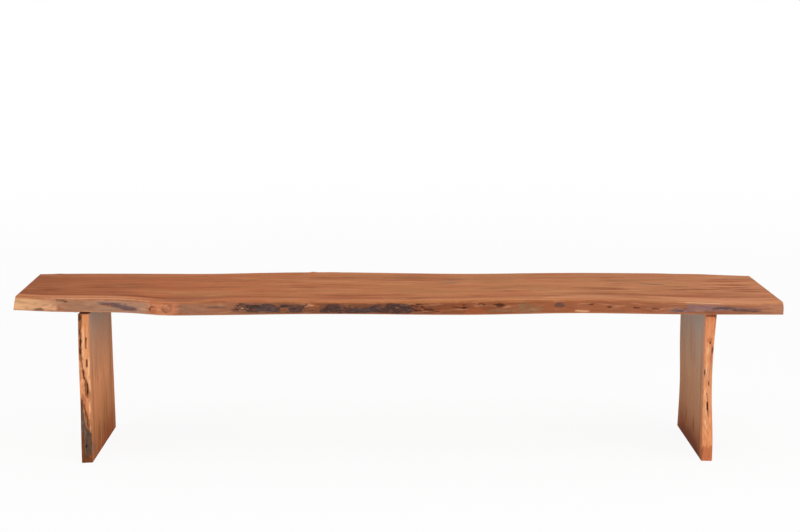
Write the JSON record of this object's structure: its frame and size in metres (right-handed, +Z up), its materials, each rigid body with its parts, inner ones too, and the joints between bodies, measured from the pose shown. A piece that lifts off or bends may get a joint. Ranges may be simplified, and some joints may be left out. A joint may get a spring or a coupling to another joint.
{
  "type": "dining bench",
  "caption": "Long backless timber bench for a dining table: a slab seat with natural live edges on upright slab legs, each bolted up through a hidden steel plate.",
  "frame": {"origin": "on the floor, under the middle of the bench's bounding box", "axes": "+X along the seat, to the right in the picture; -Y out of the front live edge; +Z up"},
  "size_m": [2.126, 0.5525, 0.457],
  "materials": {
    "seat_wood": "satin lacquer",
    "leg_wood": "satin lacquer",
    "plate_steel": "matt black",
    "fastener_steel": "zinc plated",
    "insert_brass": "plain"
  },
  "bodies": {
    "root": {"seat_slab": "seat_wood", "left_leg_slab": "leg_wood", "right_leg_slab": "leg_wood", "left_mounting_plate": "plate_steel", "left_plate_screws": "fastener_steel", "left_seat_inserts": "insert_brass", "left_flat_washers": "fastener_steel", "left_spring_washers": "fastener_steel", "left_seat_bolts": "fastener_steel", "right_mounting_plate": "plate_steel", "right_plate_screws": "fastener_steel", "right_seat_inserts": "insert_brass", "right_flat_washers": "fastener_steel", "right_spring_washers": "fastener_steel", "right_seat_bolts": "fastener_steel"}
  },
  "joints": []
}
